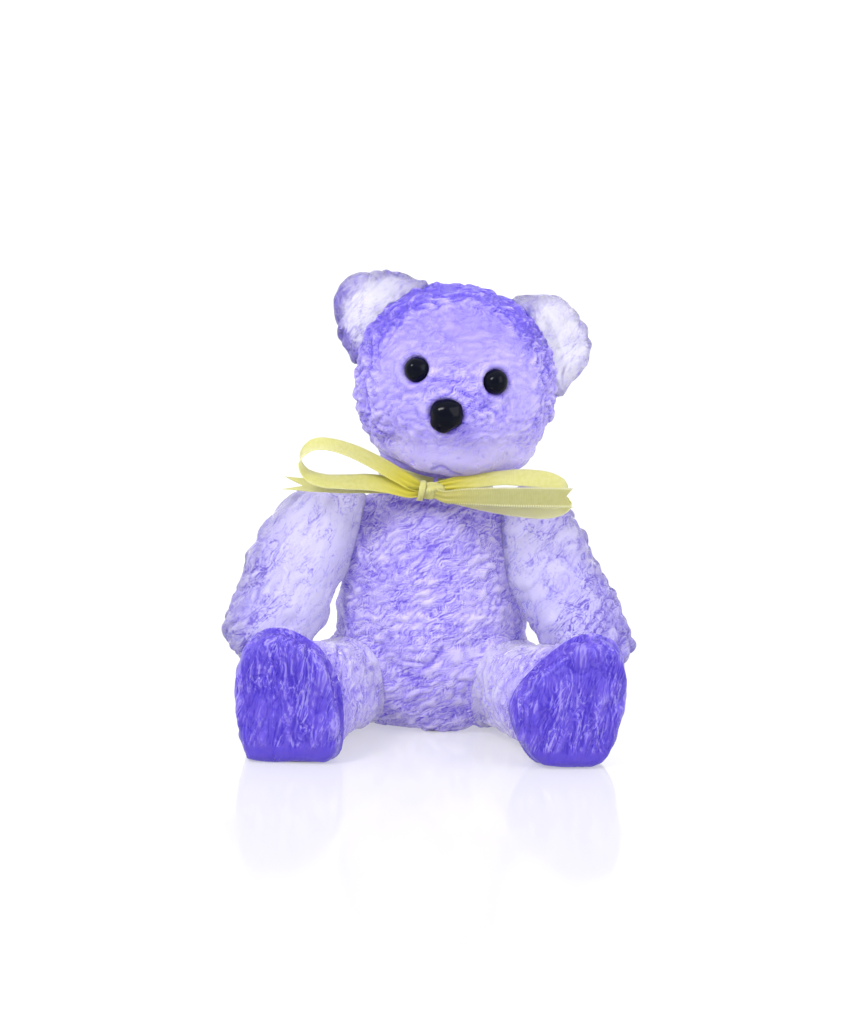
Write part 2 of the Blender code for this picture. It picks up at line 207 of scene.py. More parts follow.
def castPiece(node, name, look, zone, material):
    piece = copyNode(node, name)
    remesh = piece.modifiers.new("remesh", "REMESH")
    remesh.mode = "VOXEL"
    remesh.voxel_size = casting["voxel"] * mm
    smooth = piece.modifiers.new("smooth", "SMOOTH")
    smooth.factor = 0.5
    smooth.iterations = 6
    applyAll(piece)
    mesh = piece.data
    near = [treeOf(other) for other in look["near"]]
    normals = [v.normal.copy() for v in mesh.vertices]
    creases, depths, reliefs, places = [], [], [], []
    for vertex, normal in zip(mesh.vertices, normals):
        spot = vertex.co / mm
        folded, depth, cut, swell = zone(spot, normal)
        ridge, furrowShade = foldsAt(spot, look)
        height = look["lump"] * noise.noise(spot * casting["broad"])
        height += folded * look["high"] * ridge
        height -= casting["groove"] * cut + look["sink"]
        for tree in near:
            gap = tree.find_nearest(vertex.co, casting["reach"] * mm)[3]
            if gap is not None:
                # fused castings swell until they meet, with a small fillet
                gap /= mm
                joined = 1 - ease(gap, casting["touching"], casting["apart"])
                fillet = look["fuse"] * math.exp(-((gap / 2.0) ** 2))
                height += (min(gap, 2.0) * 0.5 - height) * joined + fillet
                swell *= ease(gap, casting["touching"], casting["loose"])
        height += swell
        # painted shade in creases and cut marks, painted light on ridges
        creases.append(min(1.0, folded * furrowShade + cut))
        depths.append(max(-1.0, min(1.0, depth)))
        reliefs.append(folded)
        places.append(vertex.co + normal * (height * mm))
    for vertex, place in zip(mesh.vertices, places):
        vertex.co = place
    calmer = piece.modifiers.new("calmer", "SMOOTH")
    calmer.factor = 0.4
    calmer.iterations = 1
    applyAll(piece)
    for label, values in (("creaseShade", creases), ("depth", depths), ("relief", reliefs)):
        layer = mesh.attributes.new(label, "FLOAT", "POINT")
        layer.data.foreach_set("value", values)
    if min(v.co.z for v in mesh.vertices) < casting["foot"] * mm:
        trimFoot(piece)
    settle(piece, node, material)
    print("cast", name, len(mesh.polygons), "faces")


fritSetup = {
    "shadingStep": (-0.00012, 0.0, 0.00034),  # metres to the second look at the folds; their slope, from this one side, gives painted light and painted shade
    "steep": 12.0, "streakWidth": 0.04, "foldHeight": 4.0, "streakDepth": 0.4,
}


def makeFrit():
    # fused grains of coloured glass: clouds of tint, thin streaks, and folds whose slopes get painted light
    # on one side and painted shade on the other
    group = bpy.data.node_groups.new("frit", "ShaderNodeTree")
    group.interface.new_socket("Vector", in_out="INPUT", socket_type="NodeSocketVector")
    for name in ("Cloud Scale", "Fold Scale", "Streak Scale"):
        group.interface.new_socket(name, in_out="INPUT", socket_type="NodeSocketFloat")
    for name in ("Cloud", "Slope Shade", "Streak", "Height"):
        group.interface.new_socket(name, in_out="OUTPUT", socket_type="NodeSocketFloat")
    start = addNode(group, "NodeGroupInput", (-1300, 0))
    end = addNode(group, "NodeGroupOutput", (700, 0))
    further = addNode(group, "ShaderNodeVectorMath", (-1050, -500), operation="ADD")
    group.links.new(start.outputs["Vector"], further.inputs[0])
    further.inputs[1].default_value = fritSetup["shadingStep"]

    def grain(place, vector, scale, detail, rough, twist):
        texture = addNode(group, "ShaderNodeTexNoise", place)
        texture.inputs["Detail"].default_value = detail
        texture.inputs["Roughness"].default_value = rough
        texture.inputs["Distortion"].default_value = twist
        group.links.new(vector, texture.inputs["Vector"])
        group.links.new(start.outputs[scale], texture.inputs["Scale"])
        return texture.outputs["Fac"]

    def folded(place, value):
        centred = mathNode(group, place, "SUBTRACT", value, 0.5)
        return mathNode(group, (place[0] + 150, place[1]), "ABSOLUTE", centred)

    cloud = grain((-800, 400), start.outputs["Vector"], "Cloud Scale", 4.0, 0.5, 0.5)
    streak = folded((-600, 100), grain((-800, 100), start.outputs["Vector"], "Streak Scale", 3.0, 0.6, 1.5))
    here = folded((-600, -200), grain((-800, -200), start.outputs["Vector"], "Fold Scale", 5.0, 0.6, 1.3))
    there = folded((-600, -500), grain((-800, -500), further.outputs[0], "Fold Scale", 5.0, 0.6, 1.3))
    slopeShade = mathNode(group, (-400, -300), "SUBTRACT", here, there)
    slopeShade = mathNode(group, (-300, -300), "MULTIPLY", slopeShade, fritSetup["steep"])
    slopeShade = mathNode(group, (-150, -300), "MINIMUM", slopeShade, 1.0)
    slopeShade = mathNode(group, (-50, -300), "MAXIMUM", slopeShade, -1.0)
    strength = spread(group, (-100, -450), cloud, 0.4, 0.58, 0.45, 1.1)
    slopeShade = mathNode(group, (50, -300), "MULTIPLY", slopeShade, strength)
    sparse = spread(group, (-300, 300), cloud, 0.42, 0.6, 0.25, 1.0)
    lines = spread(group, (-300, 100), streak, fritSetup["streakWidth"], 0.0)
    lines = mathNode(group, (-100, 100), "MULTIPLY", lines, sparse)
    raised = mathNode(group, (100, -200), "MULTIPLY", here, fritSetup["foldHeight"])
    sunk = mathNode(group, (100, -50), "MULTIPLY", lines, fritSetup["streakDepth"])
    height = mathNode(group, (300, -100), "SUBTRACT", raised, sunk)
    cloud = spread(group, (-300, 450), cloud, 0.34, 0.66)
    for name, value in (("Cloud", cloud), ("Slope Shade", slopeShade), ("Streak", lines), ("Height", height)):
        group.links.new(value, end.inputs[name])
    return group


frit = makeFrit()


def glassMaterial(name, look):
    # three tints of one glass, pale, body and deep, mixed over its own clouds and streaks with painted shade
    # and painted light from creases, ridges, rims and fold slopes
    material = bpy.data.materials.new(name)
    material.use_nodes = True
    tree = material.node_tree
    tree.nodes.clear()
    out = addNode(tree, "ShaderNodeOutputMaterial", (1500, 0))
    shader = addNode(tree, "ShaderNodeBsdfPrincipled", (1100, 100))
    place = addNode(tree, "ShaderNodeTexCoord", (-1500, 0))
    turn = addNode(tree, "ShaderNodeMapping", (-1300, 0), vector_type="TEXTURE")
    turn.inputs["Rotation"].default_value = (0.0, -math.radians(look["lean"]), 0.0)
    turn.inputs["Scale"].default_value = [1 / share for share in look["stretch"]]
    tree.links.new(place.outputs["Object"], turn.inputs["Vector"])
    grain = addNode(tree, "ShaderNodeGroup", (-1000, 0), node_tree=frit)
    tree.links.new(turn.outputs["Vector"], grain.inputs["Vector"])
    for label, scale in zip(("Cloud Scale", "Fold Scale", "Streak Scale"), look["scales"]):
        grain.inputs[label].default_value = scale
    creaseShade = addNode(tree, "ShaderNodeAttribute", (-1000, 400), attribute_name="creaseShade").outputs["Fac"]
    depth = addNode(tree, "ShaderNodeAttribute", (-1000, 650), attribute_name="depth").outputs["Fac"]
    relief = addNode(tree, "ShaderNodeAttribute", (-1000, -300), attribute_name="relief").outputs["Fac"]
    # painted light and painted shade on the fold slopes
    fold = mathNode(tree, (-850, 250), "MULTIPLY", grain.outputs["Slope Shade"], relief)
    streak = mathNode(tree, (-850, 100), "MULTIPLY", grain.outputs["Streak"], relief)
    share = look["share"]
    total = mathNode(tree, (-700, 600), "MULTIPLY", depth, share["depth"])
    marks = (("cloud", grain.outputs["Cloud"]), ("fold", fold), ("streak", streak), ("creaseShade", creaseShade))
    for row, (label, value) in enumerate(marks):
        part = mathNode(tree, (-700, 400 - 150 * row), "MULTIPLY", value, share[label])
        total = mathNode(tree, (-500, 400 - 150 * row), "ADD", total, part)
    total = mathNode(tree, (-300, 100), "ADD", total, share["base"], clamp=True)
    lower = spread(tree, (-100, 200), total, 0.0, 0.5)
    upper = spread(tree, (-100, 0), total, 0.5, 1.0)
    tint = mixColour(tree, (200, 200), lower, look["pale"], look["body"])
    tint = mixColour(tree, (450, 200), upper, tint, look["deep"])
    tree.links.new(tint, shader.inputs["Base Color"])
    rough = spread(tree, (450, -100), grain.outputs["Cloud"], 0.0, 1.0, look["rough"][0], look["rough"][1])
    tree.links.new(rough, shader.inputs["Roughness"])
    bump = addNode(tree, "ShaderNodeBump", (700, -350))
    bump.inputs["Strength"].default_value = look["bump"]
    bump.inputs["Distance"].default_value = 0.4 * mm
    height = mathNode(tree, (500, -400), "MULTIPLY", grain.outputs["Height"], relief)
    tree.links.new(height, bump.inputs["Height"])
    tree.links.new(bump.outputs["Normal"], shader.inputs["Normal"])
    shader.inputs["IOR"].default_value = look["ior"]
    shader.inputs["Transmission Weight"].default_value = look["clear"]
    shader.inputs["Subsurface Weight"].default_value = 1.0
    shader.inputs["Subsurface Radius"].default_value = (0.7, 0.6, 1.0)
    shader.inputs["Subsurface Scale"].default_value = look["glow"]
    tree.links.new(shader.outputs["BSDF"], out.inputs["Surface"])
    body = addNode(tree, "ShaderNodeVolumeAbsorption", (1100, -500))
    body.inputs["Color"].default_value = look["absorb"]
    body.inputs["Density"].default_value = look["density"]
    tree.links.new(body.outputs["Volume"], out.inputs["Volume"])
    return material


# a zone gives how strong the folds are here, how deep the tint with painted shade and painted light in it,
# how far a mark is cut, and a swell in mm
# marks are lines of x and z in mm: the torso's in the frame's own space, the head's about its middle

torsoMarks = (
    ((-11.7, 61.4), (-8.0, 62.7), (-3.2, 65.2)),
    ((-10.1, 59.4), (-6.8, 60.9), (-3.2, 60.4), (1.3, 60.4)),
    ((4.1, 63.5), (7.4, 60.2)),
    ((-2.3, 17.9), (0.5, 19.5), (3.3, 24.0)),
)
torsoMiddle = middle("torso")
headMiddle = middle("head") + Vector((0, 0, 0.4))
headMarks = (
    ((-12.3, 0.1), (-6.6, 2.4), (-0.5, 2.2), (4.0, 2.8)),
    ((-15.3, -2.6), (-8.1, 0.7), (-2.8, 0.9), (2.9, -1.0), (8.6, -1.4), (12.7, -2.2)),
    ((4.5, -4.2), (9.0, -5.0), (12.0, -7.6)),
    ((-13.0, -6.6), (-8.5, -6.0), (-5.5, -7.4)),
)
chinCrack = ((-5.1, -19.1), (-3.2, -18.5), (-2.0, -18.8), (-0.5, -19.9), (1.7, -20.6))


def torsoZone(spot, normal):
    width = 17.5 + 4.5 * ease(spot.z, 62.0, 30.0) - 5.0 * ease(spot.z, 12.0, 0.0)
    edge = abs(spot.x - torsoMiddle.x) / width
    speckle = noise.noise(spot * 0.45) * 0.35
    # painted shade: deeper tint towards the edges, where light crosses more glass, and a little deeper at the
    # very bottom
    depth = 0.14 * ease(edge + speckle * 0.5, 0.78, 1.02) + 0.04 * ease(spot.z + speckle * 8, 9.0, 2.0)
    depth -= 0.05 * ease(spot.z + speckle * 10, 50.0, 60.0)
    depth += 0.4 * ease(spot.z, 62.5, 65.5) + 0.1 * ease(spot.z, 34.0, 14.0)
    # painted light: the right side and the lower torso, which lie in the figure's own shade, are painted
    # paler
    depth -= 0.24 * ease(spot.x - torsoMiddle.x, 4.0, 15.0) * ease(spot.z, 56.0, 46.0)
    depth -= 0.15 * ease(spot.z, 40.0, 26.0)
    cut = 0.0
    if normal.y < -0.2:
        cut = max(math.exp(-((lineGap((spot.x, spot.z), line) / 0.45) ** 2)) for line in torsoMarks)
    return 1.0 - 0.7 * ease(spot.z, 61.0, 64.0), depth + 0.1, cut, 0.0


def headZone(spot, normal):
    x, z = spot.x - headMiddle.x, spot.z - headMiddle.z
    rim = math.hypot(x, z * 1.02) / 24.6
    speckle = noise.noise(spot * 0.4) * 0.5 + noise.noise(spot * 0.9) * 0.25
    front = ease(-normal.y, -0.1, 0.35)
    top = ease(z, -6.0, 20.0)
    # painted shade: deeper tint at the rim, where light crosses more glass, most at the top; the head also
    # grows deeper towards the top; painted light on the chin, which faces down into shade, and on the lower
    # right cheek, on the side away from the key lamp
    depth = ease(rim + speckle * 0.16, 0.80, 0.98) * (0.2 + 0.36 * top) * ease(z, -22.0, -12.0)
    depth += 0.28 * ease(z, 4.0, 16.0) - 0.5 * ease(-z, 9.0, 19.0) * front
    depth -= 0.16 * ease(x, 3.0, 14.0) * ease(-z, -6.0, 2.0)
    muzzle = math.exp(-(((z + 3.5) / 7.5) ** 2) - (x / 14.0) ** 2)
    folded = 0.3 + 0.7 * max(ease(rim, 0.74, 0.94), muzzle, 1 - front)
    folded *= 1 - 0.75 * ease(-z, 14.0, 18.0) * front
    cut = 0.0
    if front > 0.3:
        cut = 0.45 * max(math.exp(-((lineGap((x, z), line) / 0.6) ** 2)) for line in headMarks)
        cut = max(cut, 0.9 * math.exp(-((lineGap((x, z), chinCrack) / 0.32) ** 2)))
        cut = max(cut, 0.9 * math.exp(-(((x + 17.0) / 1.2) ** 2) - ((z + 12.4) / 0.7) ** 2))
        pits = noise.noise(spot * 1.1 + Vector((2, 2, 2)))
        cut = max(cut, 0.6 * ease(pits, 0.42, 0.6) * ease(-z, 2.0, 8.0))
    chin = 2.4 * ease(-z, 14.5, 19.5) * front
    return folded, depth, cut, chin


def armZone(spot, normal):
    outer = ease(abs(spot.x), 33.0, 47.0)
    speckle = noise.noise(spot * 0.35) * 0.5
    depth = 0.75 * ease(outer + speckle * 0.6, 0.35, 1.0) + 0.25 * ease(speckle, 0.1, 0.3)
    depth = depth * 0.75 if spot.x < 0 else depth + 0.25
    # painted light: the inner arm beside the torso, in its shade, is painted paler
    depth -= 0.3 * ease(abs(spot.x), 34.0, 24.0)
    return 0.75 + 0.25 * outer, depth, 0.0, 0.0


def legZone(spot, normal):
    speckle = noise.noise(spot * 0.3)
    depth = 0.15 + 0.5 * ease(spot.y + speckle * 6, -15.0, -27.0) + 0.15 * ease(speckle, -0.1, 0.3)
    # painted light: the right leg, on the side away from the key lamp, is painted paler
    if spot.x > 0:
        depth -= 0.16
    return 0.8, depth, 0.0, 0.0


earMiddles = (middle("ear_left"), middle("ear_right"))


def earZone(spot, normal):
    ear = earMiddles[0] if spot.x < headMiddle.x else earMiddles[1]
    rim = math.hypot((spot.x - ear.x) / 12.5, (spot.z - ear.z) / 13.0)
    outer = abs(spot.x - headMiddle.x) / 31.0
    # painted shade: deeper tint at the ear's rim, where light crosses more glass, more on the outer side and
    # less on the right ear
    depth = ease(rim + noise.noise(spot * 0.3) * 0.2, 0.62, 0.95) * (0.35 + 0.65 * ease(outer, 0.6, 1.0))
    depth += 0.25 * ease(noise.noise(spot * 0.5), 0.1, 0.4)
    return 0.85, depth * (1.05 if spot.x < headMiddle.x else 0.5), 0.0, 0.0


def soleZone(spot, normal):
    band = ease(spot.z, 5.5, 3.5)
    upright = Vector((spot.x * 0.42, spot.y * 0.3, spot.z * 0.1))
    depth = 0.3 + 0.08 * band + 0.5 * (1 - band) * noise.noise(upright)
    return 1.0 - 0.9 * band, depth, 0.0, 0.0


# lean and stretch of the folds, how many, how thin their creases, and heights in mm
cast = {
    "torso": {
        "lean": 24, "stretch": (0.36, 0.6), "fold": 0.5, "thin": 0.07,
        "high": 0.6, "lump": 1.0, "sink": 0.1, "fuse": 0.6,
        "near": ["arm_left", "arm_right", "leg_left", "leg_right", "head", "ribbon_neck_band"]},
    "head": {
        "lean": 12, "stretch": (0.45, 0.7), "fold": 0.46, "thin": 0.06,
        "high": 0.8, "lump": 1.0, "sink": 0.1, "fuse": 0.25,
        "near": ["torso", "eye_left", "eye_right", "nose"]},
    "ear": {
        "lean": 40, "stretch": (0.4, 0.6), "fold": 0.26, "thin": 0.03,
        "high": 0.9, "lump": 1.1, "sink": 0.1, "fuse": 0.7,
        "near": ["head"]},
    "arm": {
        "lean": 50, "stretch": (0.4, 0.6), "fold": 0.3, "thin": 0.022,
        "high": 0.9, "lump": 1.2, "sink": 0.1, "fuse": 0.6},
    "leg": {
        "lean": 70, "stretch": (0.4, 0.6), "fold": 0.36, "thin": 0.04,
        "high": 0.8, "lump": 0.9, "sink": 0.1, "fuse": 0.6},
    "sole": {
        "lean": 84, "stretch": (0.2, 0.8), "fold": 0.36, "thin": 0.06,
        "high": 0.8, "lump": 0.7, "sink": 0.1, "fuse": 0.6},
}

violetGlass = glassMaterial("violetGlass", {
    "pale": (0.71, 0.65, 0.94, 1), "body": (0.43, 0.355, 0.88, 1), "deep": (0.18, 0.115, 0.71, 1),
    "share": {"base": 0.25, "cloud": 0.14, "fold": 0.42, "streak": 0.2, "creaseShade": 0.5, "depth": 0.5},
    "lean": 20, "stretch": (0.58, 0.8, 1.0), "scales": (200.0, 340.0, 460.0),
    "rough": (0.14, 0.26), "bump": 0.6, "ior": 1.3, "clear": 0.42,
    "absorb": (0.72, 0.65, 0.98, 1), "density": 10.0, "glow": 0.0006})
headGlass = glassMaterial("headGlass", {
    "pale": (0.67, 0.605, 0.92, 1), "body": (0.41, 0.34, 0.86, 1), "deep": (0.14, 0.09, 0.66, 1),
    "share": {"base": 0.33, "cloud": 0.1, "fold": 0.44, "streak": 0.3, "creaseShade": 0.6, "depth": 0.75},
    "lean": 12, "stretch": (0.66, 0.8, 1.0), "scales": (160.0, 330.0, 460.0),
    "rough": (0.2, 0.34), "bump": 0.5, "ior": 1.3, "clear": 0.4,
    "absorb": (0.72, 0.65, 0.98, 1), "density": 10.0, "glow": 0.0008})
armGlass = glassMaterial("armGlass", {
    "pale": (0.70, 0.67, 0.93, 1), "body": (0.44, 0.385, 0.86, 1), "deep": (0.13, 0.08, 0.58, 1),
    "share": {"base": 0.06, "cloud": 0.06, "fold": 0.46, "streak": 1.0, "creaseShade": 0.9, "depth": 0.56},
    "lean": 50, "stretch": (0.56, 0.8, 1.0), "scales": (150.0, 270.0, 240.0),
    "rough": (0.06, 0.16), "bump": 0.8, "ior": 1.33, "clear": 0.8,
    "absorb": (0.88, 0.86, 0.98, 1), "density": 10.0, "glow": 0.001})
legGlass = glassMaterial("legGlass", {
    "pale": (0.74, 0.70, 0.93, 1), "body": (0.44, 0.37, 0.88, 1), "deep": (0.16, 0.10, 0.72, 1),
    "share": {"base": 0.04, "cloud": 0.1, "fold": 0.42, "streak": 0.4, "creaseShade": 0.5, "depth": 0.65},
    "lean": 62, "stretch": (0.66, 0.8, 1.0), "scales": (200.0, 320.0, 380.0),
    "rough": (0.14, 0.28), "bump": 0.5, "ior": 1.25, "clear": 0.42,
    "absorb": (0.84, 0.8, 0.98, 1), "density": 10.0, "glow": 0.001})
clearGlass = glassMaterial("clearGlass", {
    "pale": (0.86, 0.85, 0.97, 1), "body": (0.58, 0.54, 0.87, 1), "deep": (0.22, 0.17, 0.62, 1),
    "share": {"base": 0.04, "cloud": 0.04, "fold": 0.42, "streak": 0.4, "creaseShade": 0.5, "depth": 1.1},
    "lean": 40, "stretch": (0.66, 0.8, 1.0), "scales": (180.0, 280.0, 300.0),
    "rough": (0.06, 0.16), "bump": 0.7, "ior": 1.38, "clear": 0.85,
    "absorb": (0.9, 0.88, 0.98, 1), "density": 16.0, "glow": 0.001})
deepGlass = glassMaterial("deepGlass", {
    "pale": (0.50, 0.43, 0.90, 1), "body": (0.20, 0.13, 0.76, 1), "deep": (0.085, 0.045, 0.58, 1),
    "share": {"base": 0.5, "cloud": 0.12, "fold": 0.44, "streak": -0.65, "creaseShade": 0.35, "depth": 0.35},
    "lean": 80, "stretch": (0.34, 0.8, 1.0), "scales": (200.0, 250.0, 210.0),
    "rough": (0.14, 0.28), "bump": 0.5, "ior": 1.35, "clear": 0.5,
    "absorb": (0.4, 0.3, 0.95, 1), "density": 12.0, "glow": 0.0006})

castPiece("torso", "torsoCast", cast["torso"], torsoZone, violetGlass)
castPiece("head", "headCast", cast["head"], headZone, headGlass)
for side in ("left", "right"):
    arm, leg, sole = "arm_" + side, "leg_" + side, "foot_sole_" + side
    armLook = cast["arm"] | {"near": ["torso", leg, sole]}
    legLook = cast["leg"] | {"near": ["torso", arm, sole]}
    soleLook = cast["sole"] | {"near": [leg, arm]}
    castPiece("ear_" + side, "earCast_" + side, cast["ear"], earZone, clearGlass)
    castPiece(arm, "armCast_" + side, armLook, armZone, armGlass)
    castPiece(leg, "legCast_" + side, legLook, legZone, legGlass)
    castPiece(sole, "soleCast_" + side, soleLook, soleZone, deepGlass)


# black glass beads for the eyes and the nose

beads = {
    "black": (0.0006, 0.001, 0.004, 1), "lighter": (0.002, 0.003, 0.009, 1), "waves": 300.0,
    "rough": (0.1, 0.2), "shine": 0.08, "bump": 0.25,
    "sink": 0.14, "uneven": 0.2,  # mm
    "noseHalf": 3.8,  # half of the nose's height, in mm
}


def beadMaterial():
    material = bpy.data.materials.new("blackBead")
    material.use_nodes = True
    tree = material.node_tree
    shader = tree.nodes["Principled BSDF"]
    place = addNode(tree, "ShaderNodeTexCoord", (-900, 0))
    wave = addNode(tree, "ShaderNodeTexNoise", (-700, 0))
    wave.inputs["Scale"].default_value = beads["waves"]
    tree.links.new(place.outputs["Object"], wave.inputs["Vector"])
    tint = mixColour(tree, (-300, 200), wave.outputs["Fac"], beads["black"], beads["lighter"])
    tree.links.new(tint, shader.inputs["Base Color"])
    rough = spread(tree, (-300, -100), wave.outputs["Fac"], 0.3, 0.7, beads["rough"][0], beads["rough"][1])
    tree.links.new(rough, shader.inputs["Roughness"])
    shader.inputs["Specular IOR Level"].default_value = beads["shine"]
    bump = addNode(tree, "ShaderNodeBump", (-300, -350))
    bump.inputs["Strength"].default_value = beads["bump"]
    bump.inputs["Distance"].default_value = 0.4 * mm
    tree.links.new(wave.outputs["Fac"], bump.inputs["Height"])
    tree.links.new(bump.outputs["Normal"], shader.inputs["Normal"])
    return material


blackBead = beadMaterial()
for node, name in (("eye_left", "eyeBead_left"), ("eye_right", "eyeBead_right"), ("nose", "noseBead")):
    bead = copyNode(node, name)
    fine = bead.modifiers.new("fine", "SUBSURF")
    fine.levels = 2
    fine.render_levels = 2
    applyAll(bead)
    heart = middle(node)
    for vertex in bead.data.vertices:
        spot = vertex.co / mm
        if node == "nose":
            # broader below and a little above, and leaning to one side
            drop = (spot.z - heart.z) / beads["noseHalf"]
            broad = 1 + 0.24 * ease(-drop, 0.0, 0.7) + 0.08 * ease(drop, 0.3, 0.9)
            spot.x = heart.x + (spot.x - heart.x) * broad
            spot.x += 0.25 * drop
        inward = beads["sink"] + beads["uneven"] * noise.noise(spot * 0.4)
        vertex.co = (spot - (spot - heart).normalized() * inward) * mm
    settle(bead, node, blackBead)
print("beads set")


# satin ribbon, in mm

ribbon = {
    "width": 6.0, "thickness": 0.22, "notch": {"ribbon_tail_left": 5.0, "ribbon_tail_right": 1.8},
    "cup": 0.35, "pleat": 0.45, "pleatReach": 10.0, "waver": 0.12,
    "inKnot": (-0.8, -19.2, 64.8), "widthInKnot": 2.4,
}
# each row: x, y, z, lean of the width from back to up in degrees, width
routes = {
    "ribbon_loop_left": (
        (-4.4, -19.4, 66.0, 62, 3.6), (-8.4, -19.2, 68.2, 48, 4.8), (-14.0, -18.6, 71.2, 36, 5.6),
        (-20.0, -18.2, 73.9, 28, 6), (-25.5, -18.2, 75.5, 24, 6), (-29.8, -18.4, 75.4, 22, 6),
        (-32.4, -18.6, 73.4, 20, 6), (-33.0, -18.8, 70.8, 20, 6), (-31.2, -19.0, 68.0, 22, 6),
        (-27.4, -19.2, 66.6, 26, 6), (-22.0, -19.4, 66.4, 30, 6), (-16.0, -19.8, 66.5, 40, 5.6),
        (-10.4, -20.2, 65.8, 52, 4.8), (-5.2, -20.4, 64.2, 64, 3.0)),
    "ribbon_loop_right": (
        (2.9, -19.6, 66.0, 70, 2.6), (6.6, -19.9, 66.8, 55, 3.6), (11.6, -20.2, 67.6, 42, 4.6),
        (17.6, -20.4, 68.4, 32, 5.6), (23.6, -20.6, 68.6, 36, 6), (29.2, -20.8, 68.1, 40, 6),
        (32.8, -21.0, 66.5, 42, 6), (33.8, -21.4, 64.0, 50, 6), (32.4, -21.9, 62.1, 60, 6),
        (28.6, -22.3, 61.3, 68, 6), (22.8, -22.3, 61.6, 70, 6), (16.4, -21.6, 62.1, 70, 5.4),
        (10.0, -20.4, 62.6, 64, 4.4), (3.4, -19.8, 63.4, 76, 2.8)),
    "ribbon_tail_left": (
        (-4.2, -17.0, 64.4, 40, 3.0), (-10.0, -16.9, 64.5, 32, 4.4), (-16.0, -16.7, 64.6, 25, 5.6),
        (-23.0, -16.4, 64.4, 22, 6), (-30.0, -16.0, 64.6, 22, 6), (-37.4, -15.8, 65.0, 24, 6)),
    "ribbon_tail_right": (
        (3.0, -23.7, 63.8, 84, 3.0), (6.6, -24.5, 64.0, 76, 3.8), (11.0, -25.0, 64.2, 66, 4.6),
        (17.0, -25.3, 64.3, 54, 5.4), (24.0, -25.6, 64.4, 48, 6), (30.0, -25.8, 64.5, 47, 6),
        (35.6, -26.0, 64.6, 47, 6)),
}


def curveRows(rows, steps):
    # a smooth curve through every row
    out = []
    for i in range(len(rows) - 1):
        before, after = rows[max(i - 1, 0)], rows[min(i + 2, len(rows) - 1)]
        for step in range(steps):
            t = step / steps
            row = []
            for a, b, c, d in zip(before, rows[i], rows[i + 1], after):
                bend = (2 * a - 5 * b + 4 * c - d) * t * t + (3 * b - a - 3 * c + d) * t ** 3
                row.append(0.5 * (2 * b + (c - a) * t + bend))
            out.append(row)
    out.append(list(rows[-1]))
    return out


def ribbonGrid(name, across, along):
    bpy.ops.object.select_all(action="DESELECT")
    bpy.ops.mesh.primitive_grid_add(x_subdivisions=across, y_subdivisions=along, size=1)
    piece = bpy.context.object
    piece.name = name
    piece.data.name = name
    return piece


def thicken(piece):
    wall = piece.modifiers.new("wall", "SOLIDIFY")
    wall.thickness = ribbon["thickness"] * mm
    wall.offset = 0.0
    applyAll(piece)


def layRibbon(node, name, material):
    rows = list(routes[node])
    rows.insert(0, ribbon["inKnot"] + (rows[0][3], ribbon["widthInKnot"]))
    if "loop" in node:
        rows.append(ribbon["inKnot"] + (rows[-1][3], ribbon["widthInKnot"]))
    rows = curveRows(rows, 12)
    spots = [Vector(row[:3]) + rawShift for row in rows]
    lengths = [0.0]
    for a, b in zip(spots, spots[1:]):
        lengths.append(lengths[-1] + (b - a).length)
    total = lengths[-1]
    isTail = "tail" in node
    piece = ribbonGrid(name, 14, 120)
    mesh = piece.data

    def at(s):
        s = max(0.0, min(total, s))
        i = 0
        while i < len(lengths) - 2 and lengths[i + 1] < s:
            i += 1
        t = (s - lengths[i]) / (lengths[i + 1] - lengths[i])
        spot = spots[i].lerp(spots[i + 1], t)
        j, k = max(i - 1, 0), min(i + 2, len(spots) - 1)
        lean = rows[i][3] + (rows[i + 1][3] - rows[i][3]) * t
        width = rows[i][4] + (rows[i + 1][4] - rows[i][4]) * t
        return spot, (spots[k] - spots[j]).normalized(), math.radians(lean), width

    for loop in mesh.loops:
        spot = mesh.vertices[loop.vertex_index].co
        mesh.uv_layers[0].data[loop.index].uv = (spot.x + 0.5, (spot.y + 0.5) * total / ribbon["width"])
    gatherShades, paintedLitStrands = [], []
    for vertex in mesh.vertices:
        side, s = vertex.co.x * 2, (vertex.co.y + 0.5) * total
        fromKnot = s if isTail else min(s, total - s)
        # painted shade: the satin is painted deeper yellow near the knot, where it lies gathered in folds
        gatherShades.append(math.exp(-((fromKnot - 5.0) / 8.0) ** 2))
        # painted light: the lower strand of the right loop, in the tail's shade, is painted paler
        lower = ease(s, total * 0.5, total * 0.56) * ease(s, total, total - 16.0)
        paintedLitStrands.append(lower if node == "ribbon_loop_right" else 0.0)
        if isTail:
            s -= ribbon["notch"][node] * (1 - abs(side)) * ease(s, total - 9.0, total)
        spot, ahead, lean, width = at(s)
        wide = Vector((0, math.cos(lean), math.sin(lean)))
        wide = (wide - ahead * wide.dot(ahead)).normalized()
        up = ahead.cross(wide)
        fromKnot = min(s, total - s) if not isTail else s
        gather = math.exp(-fromKnot / ribbon["pleatReach"] * 1.6)
        lift = ribbon["cup"] * (1 - side * side) * (1 - gather)
        lift += ribbon["pleat"] * gather * math.sin(side * 7.5 + s * 0.05)
        lift += ribbon["waver"] * noise.noise(Vector((s * 0.18, side * 0.8, total)))
        place = spot + wide * (side * width * 0.5 * 0.98) + up * (lift - 0.15)
        vertex.co = place * mm
    mesh.attributes.new("gather", "FLOAT", "POINT").data.foreach_set("value", gatherShades)
    mesh.attributes.new("paintedLitStrand", "FLOAT", "POINT").data.foreach_set("value", paintedLitStrands)
    thicken(piece)
    settle(piece, node, material)
    print("ribbon", name, round(total, 1), "mm long")


weave = {
    "warps": 34, "relief": 0.06,  # threads across the width, and mm of relief
    # tints for painted shade in the gather and painted light on the right loop's lower strand
    "gatherShadeTint": (0.56, 0.48, 0.02, 1), "paintedLightTint": (0.92, 0.90, 0.42, 1),
}


